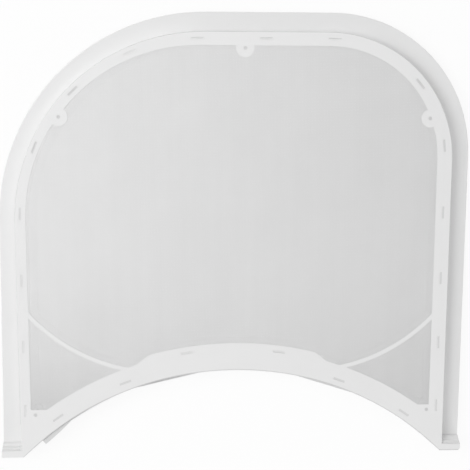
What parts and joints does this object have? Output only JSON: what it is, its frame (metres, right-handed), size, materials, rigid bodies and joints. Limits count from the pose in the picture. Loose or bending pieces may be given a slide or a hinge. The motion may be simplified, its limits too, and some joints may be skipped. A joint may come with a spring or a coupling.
{
  "type": "tumble dryer lint filter",
  "caption": "Flat arched fold-open lint filter with a moulded rear shell, a hinged front leaf and fine mesh in both; it slides into a dryer's slot and catches lint.",
  "frame": {"origin": "centre of the overall box on the rear face, which lies on the surface", "axes": "+X across the filter, +Y from the feet to the rounded top, +Z out of the front leaf"},
  "size_m": [0.3132, 0.2958, 0.0155],
  "materials": {
    "shell_plastic": "satin moulded white",
    "leaf_plastic": "satin moulded white",
    "filter_mesh": "fine woven pale grey"
  },
  "bodies": {
    "rear_shell": {"rear_frame": "shell_plastic", "rear_mesh": "filter_mesh"},
    "front_leaf": {"front_frame": "leaf_plastic", "front_mesh": "filter_mesh"}
  },
  "joints": [
    {"name": "leaf_hinge", "type": "hinge", "parent": "rear_shell", "child": "front_leaf", "pos_m": [0.02037, 0.13175, 0.0111], "axis": [-1, 0, 0], "range_deg": [0, 90]}
  ]
}
